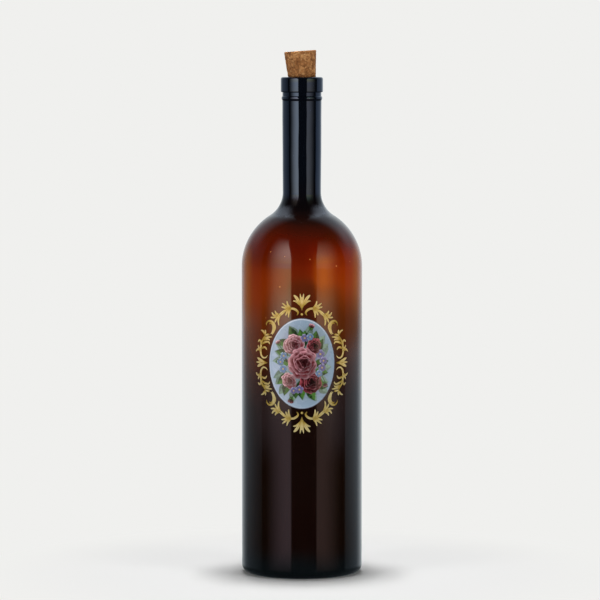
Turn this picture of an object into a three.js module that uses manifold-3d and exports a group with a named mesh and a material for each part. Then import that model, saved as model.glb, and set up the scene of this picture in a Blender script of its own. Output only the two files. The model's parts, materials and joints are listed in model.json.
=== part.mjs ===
// Decorative glass bottle with a tapered cork stopper, an oval enamel medallion on its front
// and a border of gold enamel scrollwork round the medallion.
// Millimetres, +Z up. The origin is on the axis, at the plane the bottle stands on, and the
// medallion faces -Y.
import * as THREE from "three";
import { mergeVertices } from "three/addons/utils/BufferGeometryUtils.js";
import Module from "manifold-3d";

const wasm = await Module();
wasm.setup();

// Glass: outside
const BOTTLE_HEIGHT = 330;
const BODY_DIAMETER = 80;
const BODY_STRAIGHT_HEIGHT = 204.5;
const SHOULDER_RADIUS = 40;
const NECK_FILLET_RADIUS = 18.2;
const NECK_FOOT_DIAMETER = 25.4;
const NECK_TOP_DIAMETER = 26;
const RING_DIAMETER = 27;
const RING_HEIGHT = 2.8;
const RING_EDGE = 0.8;
const GROOVE_DIAMETER = 25.8;
const GROOVE_HEIGHT = 2.6;
const LIP_DIAMETER = 28;
const LIP_HEIGHT = 10;
const LIP_TOP_ROUND = 1.4;
const LIP_UNDER_ROUND = 0.6;

// Glass: inside
const BODY_WALL = 3.6;
const BORE_MOUTH_DIAMETER = 19;
const BORE_FOOT_DIAMETER = 20.4;
const MOUTH_ROUND = 0.8;
const INNER_HEEL_RADIUS = 7;

// Glass: base
const HEEL_RADIUS = 5.5;
const STANDING_RING_WIDTH = 7.5;
const PUNT_HEIGHT = 18;
const BASE_THICKNESS = 6;

// Cork stopper
const CORK_LENGTH = 30;
const CORK_TOP_DIAMETER = 21.3;
const CORK_BOTTOM_DIAMETER = 16.6;
const CORK_EDGE = 0.6;
const CORK_TILT_DEG = 4;
const CORK_CLEARANCE = 0.2;

// Medallion and gold border
const MEDALLION_WIDTH = 44.8;
const MEDALLION_LENGTH = 59.8;
const MEDALLION_DROP = 61.5; // from the top of the straight body down to the medallion's middle
const MEDALLION_THICKNESS = 0.25;
const BORDER_GAP = 0.6; // between the medallion's edge and the border
const BORDER_WIDTH = 15.7;
const GOLD_THICKNESS = 0.3;
const LEAF_WIDTH = 2.1;
const TIP_WIDTH = 1.45;
const SCROLL_WIDTH = 1.7;
const VINE_WIDTH = 1.6;
const BEAD_DIAMETER = 1.8;
const TRANSFER_CLEARANCE = 0.15; // between the enamel and the glass behind it

// Facets
const LATHE_SEGMENTS = 48;
const STROKE_STEPS = 5;
const SCROLL_STEPS = 18;
const VINE_STEPS = 20;
const BEAD_SIDES = 10;
const MEDALLION_COLUMNS = 20;
const LONGEST_CHORD = 4.5; // a wrapped face no wider than this stays off the glass

const bodyRadius = BODY_DIAMETER / 2;
const medallionHeight = BODY_STRAIGHT_HEIGHT - MEDALLION_DROP;
const enamelRadius = bodyRadius + TRANSFER_CLEARANCE;

// Materials
const lacqueredGlass = new THREE.MeshStandardMaterial({ color: 0x3a1408, roughness: 0.08, metalness: 0 });
const corkBark = new THREE.MeshStandardMaterial({ color: 0x9a6a3f, roughness: 0.9, metalness: 0 });
const paleEnamel = new THREE.MeshStandardMaterial({ color: 0xb7c6d8, roughness: 0.25, metalness: 0 });
const goldEnamel = new THREE.MeshStandardMaterial({ color: 0xb0924a, roughness: 0.4, metalness: 0.3 });

// Solids

function solidOf(geometry) {
  const bare = new THREE.BufferGeometry();
  bare.setAttribute("position", geometry.getAttribute("position"));
  const merged = mergeVertices(bare, 1e-4);
  return new wasm.Manifold(
    new wasm.Mesh({
      numProp: 3,
      vertProperties: merged.getAttribute("position").array,
      triVerts: new Uint32Array(merged.index.array),
    }),
  );
}

function geometryOf(solid) {
  const { vertProperties, triVerts } = solid.getMesh();
  const geometry = new THREE.BufferGeometry();
  geometry.setAttribute("position", new THREE.BufferAttribute(new Float32Array(vertProperties), 3));
  geometry.setIndex(new THREE.BufferAttribute(new Uint32Array(triVerts), 1));
  return geometry;
}

// A profile of (radius, height) points, from axis to axis, turned about +Z.
function turned(profile) {
  return new THREE.LatheGeometry(profile, LATHE_SEGMENTS).rotateX(Math.PI / 2);
}

function named(name, geometry, material) {
  const mesh = new THREE.Mesh(geometry, material);
  mesh.name = name;
  return mesh;
}

// Points of an arc in the (radius, height) plane, both ends included.
function arc(centre, radius, fromDeg, toDeg, steps) {
  return Array.from({ length: steps + 1 }, (_, i) => {
    const angle = THREE.MathUtils.degToRad(fromDeg + ((toDeg - fromDeg) * i) / steps);
    return new THREE.Vector2(centre.x + radius * Math.cos(angle), centre.y + radius * Math.sin(angle));
  });
}

// Glass bottle

// The shoulder arc, then the hollow fillet that runs out of it into the neck, from the body up.
function shoulderCurve(wallRadius, shoulderRadius, neckRadius, filletRadius, shoulderSteps, filletSteps) {
  const shoulder = new THREE.Vector2(wallRadius - shoulderRadius, BODY_STRAIGHT_HEIGHT);
  const across = neckRadius + filletRadius - shoulder.x;
  const rise = Math.sqrt((shoulderRadius + filletRadius) ** 2 - across ** 2);
  const fillet = new THREE.Vector2(neckRadius + filletRadius, shoulder.y + rise);
  const meet = THREE.MathUtils.radToDeg(Math.atan2(rise, across));
  return [
    ...arc(shoulder, shoulderRadius, 0, meet, shoulderSteps),
    ...arc(fillet, filletRadius, 180 + meet, 180, filletSteps).slice(1),
  ];
}

// The push-up under the base: half a cosine wave from its top on the axis down to its rim.
function puntCurve(rimRadius, topHeight, rimHeight, steps) {
  return Array.from({ length: steps + 1 }, (_, i) => {
    const share = i / steps;
    const height = rimHeight + (topHeight - rimHeight) * (0.5 + 0.5 * Math.cos(Math.PI * share));
    return new THREE.Vector2(rimRadius * share, height);
  });
}

function glassBottle() {
  const point = (radius, height) => new THREE.Vector2(radius, height);
  const heelCentre = point(bodyRadius - HEEL_RADIUS, HEEL_RADIUS);
  const puntRadius = heelCentre.x - STANDING_RING_WIDTH;
  const lipRadius = LIP_DIAMETER / 2;
  const ringRadius = RING_DIAMETER / 2;
  const grooveRadius = GROOVE_DIAMETER / 2;
  const neckFoot = NECK_FOOT_DIAMETER / 2;
  const lipUnder = BOTTLE_HEIGHT - LIP_HEIGHT;
  const ringTop = lipUnder - GROOVE_HEIGHT;
  const ringFoot = ringTop - RING_HEIGHT;

  const outside = [
    ...puntCurve(puntRadius, PUNT_HEIGHT, 0, 6),
    ...arc(heelCentre, HEEL_RADIUS, -90, 0, 5),
    ...shoulderCurve(bodyRadius, SHOULDER_RADIUS, neckFoot, NECK_FILLET_RADIUS, 11, 7),
    point(NECK_TOP_DIAMETER / 2, ringFoot),
    point(ringRadius, ringFoot + RING_EDGE),
    point(ringRadius, ringTop - RING_EDGE),
    point(grooveRadius, ringTop),
    point(grooveRadius, lipUnder),
    ...arc(point(lipRadius - LIP_UNDER_ROUND, lipUnder + LIP_UNDER_ROUND), LIP_UNDER_ROUND, -90, 0, 2),
    ...arc(point(lipRadius - LIP_TOP_ROUND, BOTTLE_HEIGHT - LIP_TOP_ROUND), LIP_TOP_ROUND, 0, 90, 3),
  ];

  const boreMouth = BORE_MOUTH_DIAMETER / 2;
  const boreFoot = BORE_FOOT_DIAMETER / 2;
  const innerWall = bodyRadius - BODY_WALL;
  const innerHeel = point(innerWall - INNER_HEEL_RADIUS, BASE_THICKNESS + INNER_HEEL_RADIUS);
  const innerFillet = NECK_FILLET_RADIUS + neckFoot - boreFoot;
  const inside = [
    ...arc(point(boreMouth + MOUTH_ROUND, BOTTLE_HEIGHT - MOUTH_ROUND), MOUTH_ROUND, 90, 180, 2),
    ...shoulderCurve(innerWall, SHOULDER_RADIUS - BODY_WALL, boreFoot, innerFillet, 8, 5).reverse(),
    ...arc(innerHeel, INNER_HEEL_RADIUS, 0, -90, 4),
    ...puntCurve(Math.min(puntRadius, innerHeel.x), PUNT_HEIGHT + BASE_THICKNESS, BASE_THICKNESS, 6).reverse(),
  ];

  return named("glass_bottle", turned([...outside, ...inside]), lacqueredGlass);
}

// Cork stopper

// The cork wedges where its taper fills the mouth, leaning to one side along the bore.
function corkStopper() {
  const topRadius = CORK_TOP_DIAMETER / 2;
  const bottomRadius = CORK_BOTTOM_DIAMETER / 2;
  const seatRadius = BORE_MOUTH_DIAMETER / 2 - CORK_CLEARANCE;
  const seatHeight = (CORK_LENGTH * (seatRadius - bottomRadius)) / (topRadius - bottomRadius);
  const cork = turned([
    new THREE.Vector2(0, 0),
    new THREE.Vector2(bottomRadius - CORK_EDGE, 0),
    new THREE.Vector2(bottomRadius, CORK_EDGE),
    new THREE.Vector2(topRadius, CORK_LENGTH - CORK_EDGE),
    new THREE.Vector2(topRadius - CORK_EDGE, CORK_LENGTH),
    new THREE.Vector2(0, CORK_LENGTH),
  ]);
  const mesh = named("cork_stopper", cork.translate(0, 0, -seatHeight), corkBark);
  mesh.position.z = BOTTLE_HEIGHT;
  mesh.rotation.y = -THREE.MathUtils.degToRad(CORK_TILT_DEG);
  return mesh;
}

// Enamel on the curved glass

// Flat (across, up, out) points, measured from the medallion's middle, laid round the body.
function wrapped(geometry) {
  const place = geometry.getAttribute("position");
  for (let i = 0; i < place.count; i++) {
    const angle = place.getX(i) / bodyRadius;
    const radius = enamelRadius + place.getZ(i);
    const up = medallionHeight + place.getY(i);
    place.setXYZ(i, radius * Math.sin(angle), -radius * Math.cos(angle), up);
  }
  return geometry;
}

// Halves every edge that is wider across than LONGEST_CHORD, until none is left.
function dividedAcross(geometry) {
  const points = Array.from({ length: geometry.getAttribute("position").count }, (_, i) =>
    new THREE.Vector3().fromBufferAttribute(geometry.getAttribute("position"), i),
  );
  let faces = Array.from({ length: geometry.index.count / 3 }, (_, i) =>
    Array.from(geometry.index.array.slice(3 * i, 3 * i + 3)),
  );
  for (let halved = true; halved; ) {
    const middles = new Map();
    const middle = (a, b) => {
      if (Math.abs(points[a].x - points[b].x) <= LONGEST_CHORD) return null;
      const key = a < b ? `${a} ${b}` : `${b} ${a}`;
      if (!middles.has(key)) middles.set(key, points.push(points[a].clone().lerp(points[b], 0.5)) - 1);
      return middles.get(key);
    };
    faces = faces.flatMap((face) => splitFace(face, middle));
    halved = middles.size > 0;
  }
  const divided = new THREE.BufferGeometry().setFromPoints(points);
  divided.setIndex(faces.flat());
  return divided;
}

// One triangle as the triangles that its halved edges leave.
function splitFace([a, b, c], middle) {
  const [ab, bc, ca] = [middle(a, b), middle(b, c), middle(c, a)];
  const cuts = [ab, bc, ca].filter((m) => m !== null).length;
  if (cuts === 0) return [[a, b, c]];
  if (cuts === 3) return [[a, ab, ca], [ab, b, bc], [ca, bc, c], [ab, bc, ca]];
  if (cuts === 1 && ab === null) return splitFace([b, c, a], middle);
  if (cuts === 1) return [[a, ab, c], [ab, b, c]];
  if (ca !== null) return splitFace(bc === null ? [c, a, b] : [b, c, a], middle);
  return [[a, ab, c], [ab, b, bc], [ab, bc, c]];
}

// The oval plate as upright columns, which lie flat on the straight glass.
function medallionPlate() {
  const halfWidth = MEDALLION_WIDTH / 2;
  const halfLength = MEDALLION_LENGTH / 2;
  const rim = Array.from({ length: 2 * MEDALLION_COLUMNS }, (_, i) => {
    const angle = (Math.PI * i) / MEDALLION_COLUMNS;
    return [halfWidth * Math.cos(angle), halfLength * Math.sin(angle)];
  });
  const count = rim.length;
  const points = [0, MEDALLION_THICKNESS].flatMap((out) => rim.map(([x, y]) => new THREE.Vector3(x, y, out)));
  const faces = rim.flatMap((_, i) => {
    const next = (i + 1) % count;
    return [i, next, count + next, i, count + next, count + i];
  });
  for (let i = 0; i < MEDALLION_COLUMNS; i++) {
    const column = [i, i + 1, count - i - 1, (count - i) % count];
    const triangles = [[0, 1, 2], [0, 2, 3]].map((corners) => corners.map((corner) => column[corner]));
    for (const [a, b, c] of triangles.filter((triangle) => new Set(triangle).size === 3)) {
      faces.push(count + a, count + b, count + c, a, c, b);
    }
  }
  const plate = new THREE.BufferGeometry().setFromPoints(points);
  plate.setIndex(faces);
  return named("medallion_plate", wrapped(plate), paleEnamel);
}

// Gold border
// It is drawn for one quarter of the rim: along runs from the middle of the top, 0, to the middle
// of the side, 100, and out from the rim, 0, to the border's outer limit, 100.

const rimLine = new THREE.EllipseCurve(
  0, 0,
  MEDALLION_WIDTH / 2 + BORDER_GAP, MEDALLION_LENGTH / 2 + BORDER_GAP,
  Math.PI / 2, Math.PI / 2 - 2 * Math.PI, true,
);

function borderPoint(along, out) {
  const share = THREE.MathUtils.euclideanModulo(along / 400, 1);
  const tangent = rimLine.getTangentAt(share);
  const outward = new THREE.Vector2(-tangent.y, tangent.x);
  return rimLine.getPointAt(share).addScaledVector(outward, (BORDER_WIDTH * out) / 100);
}

// A stroke follows a smooth curve through border points. Its width swells early in a tip, late in a
// lobe, and midway in a scroll or a vine.
function stroke(points, width, steps, swell) {
  const spine = new THREE.SplineCurve(points.map(([along, out]) => new THREE.Vector2(along, out)));
  return { spine, width, steps, swell };
}

const lobe = (...points) => stroke(points, LEAF_WIDTH, STROKE_STEPS, 1.3);
const tip = (...points) => stroke(points, TIP_WIDTH, STROKE_STEPS, 0.7);
const scroll = (...points) => stroke(points, SCROLL_WIDTH, SCROLL_STEPS, 0.9);
const vine = (...points) => stroke(points, VINE_WIDTH, VINE_STEPS, 0.9);

// A fan on a short stem, the same on both sides of its middle line: a body that ends in two close
// fingers, a broad lobe on each side and a small finger under it.
function palmette(middle, foot, reach) {
  const at = (along, out) => [middle + along, foot + (reach - foot) * out];
  const both = (make, ...points) => [1, -1].map((side) => make(...points.map(([x, y]) => at(side * x, y))));
  return [
    lobe(at(0, 0), at(0, 0.4), at(0, 0.8)),
    ...both(tip, [0, 0.1], [0.8, 0.6], [1.5, 1]),
    ...both(lobe, [0, 0.08], [2.4, 0.45], [4.6, 0.74], [6.9, 0.95]),
    ...both(tip, [1.6, 0.3], [5, 0.54], [8.4, 0.63]),
  ];
}

// A smaller fan: a stem that ends in one finger, and a lobe on each side.
function trefoil(middle, foot, reach) {
  const at = (along, out) => [middle + along, foot + (reach - foot) * out];
  const side = (across) => lobe(at(0, 0.1), at(2.2 * across, 0.5), at(5.6 * across, 0.9));
  return [lobe(at(0, 0), at(0, 0.35), at(0, 0.75)), tip(at(0, 0.4), at(0, 0.7), at(0, 1)), side(1), side(-1)];
}

// Ornaments of one quarter, each a list of strokes
const QUARTER_ORNAMENTS = {
  acanthus: [
    vine([7.5, 9], [5, 19], [6.7, 31], [10.1, 40], [15.5, 45], [22, 42]),
    tip([12.4, 42], [14.4, 60], [14.2, 79]),
    tip([13.8, 43], [17.2, 62], [19.3, 78]),
    tip([15.4, 44], [19, 56], [21.8, 65]),
    tip([12, 45], [16.6, 29], [19.6, 10]),
    tip([13.8, 44], [18.6, 34], [22, 24]),
    lobe([12, 44], [19.5, 43.5], [26, 40], [35, 37]),
    tip([28, 39], [30.6, 54], [30, 67]),
    tip([28.8, 39], [34.2, 55], [34, 71]),
    tip([29.4, 39], [36, 48], [39.2, 60]),
    tip([28.6, 39], [35.6, 35], [40, 30]),
    tip([25.5, 41], [33.6, 27], [38.6, 8]),
  ],
  c_scroll: [
    scroll(
      [50.8, 53], [48.2, 59], [44.2, 56.5], [41.8, 45], [41.7, 29],
      [44.3, 17], [49, 12.3], [53, 11], [56.5, 11.5],
    ),
    scroll([46.6, 44], [45, 46.5], [43.7, 39.5], [44.2, 30], [47, 21.5], [50.6, 17.3], [54, 16], [56.8, 19]),
  ],
  side_scroll: [
    vine(
      [59.6, 52], [61.6, 40], [67.6, 43.5], [73.4, 49.5], [79, 47.5],
      [84.8, 46], [90.2, 39.5], [93.2, 28], [92.2, 14.5], [88.6, 7],
    ),
    tip([58.2, 22], [60, 31], [62.4, 41]),
    tip([62, 41], [59.4, 57], [59.8, 71]),
    tip([62, 42], [58.4, 45], [56.2, 51]),
    tip([69, 44], [64.8, 33], [61.8, 20], [59.2, 7]),
    tip([69.5, 40], [65.4, 24], [65.4, 11]),
    tip([76.6, 48], [71.4, 32], [68.6, 15.5], [71.2, 6.5]),
    tip([81.6, 46], [78, 26], [80.8, 13.5]),
    tip([75, 47], [72, 61], [74.8, 69]),
    tip([82.6, 45], [81.4, 57], [78.6, 65]),
    tip([85, 45], [83.8, 62], [87.2, 72.5]),
  ],
};

// The outline of a stroke, drawn out to a point at each end.
function strokeOutline({ spine, width, steps, swell }) {
  const left = [];
  const right = [];
  for (let i = 1; i < steps; i++) {
    const share = i / steps;
    const half = (width / 2) * Math.sin(Math.PI * share ** swell) ** 0.6;
    const [before, here, after] = [share - 0.02, share, share + 0.02].map((t) => {
      const { x, y } = spine.getPoint(t);
      return borderPoint(x, y);
    });
    const side = after.sub(before).normalize();
    left.push(new THREE.Vector2(here.x - half * side.y, here.y + half * side.x));
    right.unshift(new THREE.Vector2(here.x + half * side.y, here.y - half * side.x));
  }
  const [start, end] = [0, 1].map((t) => {
    const { x, y } = spine.getPoint(t);
    return borderPoint(x, y);
  });
  return [start, ...left, end, ...right];
}

function beadOutline() {
  const middle = borderPoint(0, 12);
  return Array.from({ length: BEAD_SIDES }, (_, i) => {
    const angle = (2 * Math.PI * i) / BEAD_SIDES;
    const spoke = new THREE.Vector2(Math.cos(angle), Math.sin(angle));
    return middle.clone().addScaledVector(spoke, BEAD_DIAMETER / 2);
  });
}

// Outlines turned over to another quarter, given thickness, fused and laid on the glass.
function goldOrnament(name, outlines, mirrorAcross, mirrorUp) {
  const strokes = outlines.map((outline) => {
    const placed = outline.map(({ x, y }) => new THREE.Vector2(x * mirrorAcross, y * mirrorUp));
    return solidOf(
      new THREE.ExtrudeGeometry(new THREE.Shape(placed), { depth: GOLD_THICKNESS, bevelEnabled: false }),
    );
  });
  const fused = strokes.reduce((whole, stroke) => whole.add(stroke));
  return named(`gold_${name}`, wrapped(dividedAcross(geometryOf(fused))), goldEnamel);
}

function goldBorder() {
  const border = new THREE.Group();
  const strokesOf = (strokes) => strokes.map(strokeOutline);
  for (const [end, up] of [["top", 1], ["bottom", -1]]) {
    border.add(goldOrnament(`palmette_${end}`, strokesOf(palmette(0, 27, 99)), 1, up));
    border.add(goldOrnament(`bead_${end}`, [beadOutline()], 1, up));
  }
  for (const [side, across] of [["left", -1], ["right", 1]]) {
    border.add(goldOrnament(`palmette_${side}`, strokesOf(trefoil(100, 4, 68)), across, 1));
    for (const [half, up] of [["upper", 1], ["lower", -1]]) {
      for (const [ornament, strokes] of Object.entries(QUARTER_ORNAMENTS)) {
        border.add(goldOrnament(`${ornament}_${half}_${side}`, strokesOf(strokes), across, up));
      }
    }
  }
  return border;
}

const bottle = new THREE.Group();
bottle.add(glassBottle(), corkStopper(), medallionPlate(), goldBorder());

export default bottle;
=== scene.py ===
"""Finishes for a decorative bottle: fade-lacquered glass, cork, painted medallion and gold relief.

Lengths are in metres and angles in degrees, unless a name says otherwise. The bottle stands on
z = 0 about the Z axis and its medallion faces -Y.
"""
import json
import math

import bpy
import numpy as np
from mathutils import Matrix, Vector


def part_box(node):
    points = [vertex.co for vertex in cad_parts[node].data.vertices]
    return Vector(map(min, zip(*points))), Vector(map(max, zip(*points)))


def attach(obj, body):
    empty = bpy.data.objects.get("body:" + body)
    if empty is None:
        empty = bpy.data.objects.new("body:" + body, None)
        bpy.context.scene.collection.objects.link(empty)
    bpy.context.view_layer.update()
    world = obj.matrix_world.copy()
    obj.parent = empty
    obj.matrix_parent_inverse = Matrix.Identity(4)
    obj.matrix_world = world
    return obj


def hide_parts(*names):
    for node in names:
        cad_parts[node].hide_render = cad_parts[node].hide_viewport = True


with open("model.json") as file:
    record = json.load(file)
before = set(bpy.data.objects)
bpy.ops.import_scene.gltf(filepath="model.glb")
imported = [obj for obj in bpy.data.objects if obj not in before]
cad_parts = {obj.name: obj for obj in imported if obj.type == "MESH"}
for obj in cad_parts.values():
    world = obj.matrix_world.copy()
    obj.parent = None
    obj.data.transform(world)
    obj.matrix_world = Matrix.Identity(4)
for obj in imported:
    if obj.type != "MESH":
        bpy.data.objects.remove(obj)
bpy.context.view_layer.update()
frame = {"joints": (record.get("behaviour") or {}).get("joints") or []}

MM = 0.001

# Glass sizes, with the body and the height read from the frame
BODY_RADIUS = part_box("glass_bottle")[1].x
GLASS_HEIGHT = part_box("glass_bottle")[1].z
SHOULDER_HEIGHT = 204.5 * MM
SHOULDER_RADIUS = 40 * MM
NECK_FILLET_RADIUS = 18.2 * MM
NECK_FOOT_RADIUS = 12.7 * MM
NECK_TOP_RADIUS = 13 * MM
RING_RADIUS = 13.5 * MM
RING_HEIGHT = 2.8 * MM
GROOVE_RADIUS = 12.9 * MM
GROOVE_HEIGHT = 2.6 * MM
LIP_RADIUS = 14 * MM
LIP_HEIGHT = 10 * MM
LIP_TOP_ROUND = 1.4 * MM
LIP_UNDER_ROUND = 0.6 * MM
WALL = 3.6 * MM
BORE_MOUTH_RADIUS = 9.5 * MM
BORE_FOOT_RADIUS = 10.2 * MM
MOUTH_ROUND = 0.8 * MM
INNER_HEEL_RADIUS = 7 * MM
HEEL_RADIUS = 5.5 * MM
PUNT_RADIUS = 27 * MM
PUNT_HEIGHT = 18 * MM
BASE_THICKNESS = 6 * MM
GLASS_SEGMENTS = 256
OUTSIDE_STEPS = (60, 40)  # points on the shoulder and on the fillet above it
INSIDE_STEPS = (30, 20)
WAVER = 0.035 * MM  # unevenness of the blown neck

# Cork sizes: its axis is the joint's, through the middle of the mouth
CORK_AXIS = Vector(frame["joints"][0]["axis"]).normalized()
CORK_LENGTH = 30 * MM
CORK_TOP_RADIUS = 10.65 * MM
CORK_BOTTOM_RADIUS = 8.3 * MM
CORK_CLEARANCE = 0.2 * MM
CORK_EDGE = 0.6 * MM
CORK_SEGMENTS = 240
GRANULE = 2.3 * MM
SEAM_DEPTH = 0.16 * MM
LOST_DEPTH = 0.3 * MM  # where a grain has come away
CHIP_DEPTH = 0.07 * MM

# Medallion and border sizes
medallion_low, medallion_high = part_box("medallion_plate")
MEDALLION_MIDDLE = (medallion_low.z + medallion_high.z) / 2
MEDALLION_HALF_LENGTH = (medallion_high.z - medallion_low.z) / 2
MEDALLION_HALF_WIDTH = BODY_RADIUS * math.asin(medallion_high.x / math.hypot(*medallion_high.xy))
MEDALLION_THICKNESS = 0.36 * MM
MEDALLION_GRID = 300
BORDER_GAP = 0.6 * MM
BORDER_WIDTH = 15.7 * MM
LEAF_WIDTH = 2.1 * MM
TIP_WIDTH = 1.45 * MM
SCROLL_WIDTH = 1.45 * MM
VINE_WIDTH = 1.6 * MM
GOLD_THICKNESS = 0.37 * MM
LIFT = 0.06 * MM  # between strokes that cross
BEAD_RADIUS = 0.9 * MM
BEAD_HEIGHT = 1.15 * GOLD_THICKNESS
BEAD_SEGMENTS = 28
SUNK = 0.03 * MM  # enamel starts this far inside the glass, so no light shows under it

# Photograph frame and camera
IMAGE_SIZE = 600
FOCAL_PIXELS = 3525
AXIS_PIXEL = 301.9
CAMERA_DISTANCE = 2.339
CAMERA_HEIGHT = 0.350
CAMERA_PITCH = 4.11


# Shading tools

def linear(hex_colour):
    """A colour written as six hex digits, as linear red, green and blue."""
    levels = np.array([int(hex_colour[i:i + 2], 16) for i in (0, 2, 4)]) / 255
    return np.where(levels > 0.04045, ((levels + 0.055) / 1.055) ** 2.4, levels / 12.92)


def rgba(hex_colour):
    """The same colour with full alpha, for a colour socket."""
    return (*linear(hex_colour), 1.0)


class Value:
    """A shader socket that takes part in arithmetic: each operation adds a Math node."""

    def __init__(self, finish, socket):
        self.finish = finish
        self.socket = socket

    def math(self, operation, *terms):
        return self.finish.add("ShaderNodeMath", {"operation": operation}, dict(enumerate(terms)))

    def __add__(self, other):
        return self.math("ADD", self, other)

    __radd__ = __add__

    def __sub__(self, other):
        return self.math("SUBTRACT", self, other)

    def __rsub__(self, other):
        return self.math("SUBTRACT", other, self)

    def __mul__(self, other):
        return self.math("MULTIPLY", self, other)

    __rmul__ = __mul__

    def __truediv__(self, other):
        return self.math("DIVIDE", self, other)

    def step(self, low, high):
        """A smooth rise from 0 at low to 1 at high."""
        settings = {"interpolation_type": "SMOOTHSTEP"}
        return self.finish.add("ShaderNodeMapRange", settings, {"Value": self, 1: low, 2: high})


class Finish:
    """One node tree, of a material or of the world.

    add() makes any node and returns one of its outputs.
    """

    def __init__(self, owner):
        owner.use_nodes = True
        self.owner = owner
        self.tree = owner.node_tree
        self.tree.nodes.clear()

    def add(self, kind, settings, inputs, output=0):
        node = self.tree.nodes.new(kind)
        for key, value in settings.items():
            if key == "stops":
                self.set_stops(node.color_ramp, value)
            else:
                setattr(node, key, value)
        for key, value in inputs.items():
            if isinstance(value, Value):
                self.tree.links.new(value.socket, node.inputs[key])
            else:
                node.inputs[key].default_value = value
        return Value(self, node.outputs[output]) if node.outputs else None

    @staticmethod
    def set_stops(ramp, stops):
        """Places a colour ramp's stops from (position, hex colour) pairs in rising order."""
        while len(ramp.elements) < len(stops):
            ramp.elements.new(1.0)
        for element, (position, hex_colour) in zip(ramp.elements, stops):
            element.position = position
            element.color = rgba(hex_colour)

    def place(self):
        return self.add("ShaderNodeTexCoord", {}, {}, "Object")

    def axis(self, letter):
        """The point's X, Y or Z in metres."""
        return self.add("ShaderNodeSeparateXYZ", {}, {0: self.place()}, letter)

    def attribute(self, name, output="Fac"):
        return self.add("ShaderNodeAttribute", {"attribute_name": name}, {}, output)

    def noise(self, scale, detail=3.0, roughness=0.55):
        inputs = {"Vector": self.place(), "Scale": scale, "Detail": detail, "Roughness": roughness}
        return self.add("ShaderNodeTexNoise", {}, inputs)

    def mix(self, factor, first, second):
        """A colour between first and second."""
        settings = {"data_type": "RGBA"}
        return self.add("ShaderNodeMix", settings, {0: factor, 6: first, 7: second}, 2)

    def scale(self, colour, factor):
        """A colour times one number, fixed or varying."""
        settings = {"operation": "SCALE"}
        return self.add("ShaderNodeVectorMath", settings, {0: colour, "Scale": factor})

    def multiply(self, colour, shares):
        """A colour with its red, green and blue each times its own share."""
        return self.add("ShaderNodeVectorMath", {"operation": "MULTIPLY"}, {0: colour, 1: shares})

    def ramp(self, factor, *stops):
        return self.add("ShaderNodeValToRGB", {"stops": stops}, {"Fac": factor})

    def bump(self, height, strength, distance):
        inputs = {"Height": height, "Strength": strength, "Distance": distance}
        return self.add("ShaderNodeBump", {}, inputs)

    def principled(self, **inputs):
        """A Principled shader with these sockets."""
        named = {name.replace("_", " "): value for name, value in inputs.items()}
        return self.add("ShaderNodeBsdfPrincipled", {}, named)

    def either(self, factor, first, second):
        """The first shader where factor is 0, the second where it is 1."""
        return self.add("ShaderNodeMixShader", {}, {0: factor, 1: first, 2: second})

    def surface(self, shader):
        """Ends the material in this shader."""
        self.add("ShaderNodeOutputMaterial", {}, {"Surface": shader})
        return self.owner


def material(name):
    return Finish(bpy.data.materials.new(name))


# Mesh tools

def mesh_object(name, points, faces, finish, attributes=()):
    """A mesh object with one finish, and with numbers or colours for its points as attributes."""
    mesh = bpy.data.meshes.new(name)
    mesh.from_pydata(points, [], faces)
    mesh.materials.append(finish)
    for key, values in attributes:
        kind, field = ("FLOAT_COLOR", "color") if values.ndim == 2 else ("FLOAT", "value")
        layer = mesh.attributes.new(key, kind, "POINT")
        layer.data.foreach_set(field, values.astype(np.float32).ravel())
    thing = bpy.data.objects.new(name, mesh)
    bpy.context.scene.collection.objects.link(thing)
    return thing


def piece(name, points, faces, finish, body, node, attributes=(), smooth_angle=40):
    """A mesh object of the bottle that stands for a CAD node and moves with its body."""
    thing = mesh_object(name, points.tolist(), faces, finish, attributes)
    thing.data.shade_smooth()
    thing.data.set_sharp_from_angle(angle=math.radians(smooth_angle))
    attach(thing, body)
    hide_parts(node)
    return thing


def capped_rings(rings, first, last):
    """Points and faces of a stack of rings, each joined to the next, with a point closing each end.

    Faces point outwards where each ring runs anticlockwise seen against the stacking direction.
    """
    count, around = rings.shape[:2]
    points = np.vstack([rings.reshape(-1, 3), first, last])
    ring, step = np.meshgrid(np.arange(count - 1), np.arange(around), indexing="ij")
    here = ring * around + step
    beside = ring * around + (step + 1) % around
    quads = np.stack([here, beside, beside + around, here + around], -1).reshape(-1, 4)
    spoke = np.arange(around)
    following = (spoke + 1) % around
    top = (count - 1) * around
    start = np.stack([np.full(around, count * around), following, spoke], -1)
    end = np.stack([np.full(around, count * around + 1), top + spoke, top + following], -1)
    return points, [*quads.tolist(), *start.tolist(), *end.tolist()]


def turned_rings(profile, segments):
    """Rings made by turning (radius, height) points about Z."""
    angle = 2 * np.pi * np.arange(segments) / segments
    radius, height = profile[:, :1], profile[:, 1:]
    return np.stack([radius * np.cos(angle), radius * np.sin(angle), height + 0 * angle], -1)


def arc(centre, radius, start, stop, count):
    """Points of a circular arc in the (radius, height) plane, from angle start to stop."""
    angle = np.radians(np.linspace(start, stop, count))
    return np.stack([centre[0] + radius * np.cos(angle), centre[1] + radius * np.sin(angle)], -1)


def smoothstep(low, high, value):
    """0 below low, 1 above high, and a smooth cubic rise between them."""
    share = np.clip((value - low) / (high - low), 0, 1)
    return share * share * (3 - 2 * share)


def on_glass(across, up, out):
    """Flat places round the medallion's middle, wrapped on the body.

    The distance across becomes an angle about the axis, and out is added to the body's radius.
    """
    angle = across / BODY_RADIUS
    radius = BODY_RADIUS + out
    return np.stack([radius * np.sin(angle), -radius * np.cos(angle), MEDALLION_MIDDLE + up], -1)


# Glass

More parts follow.
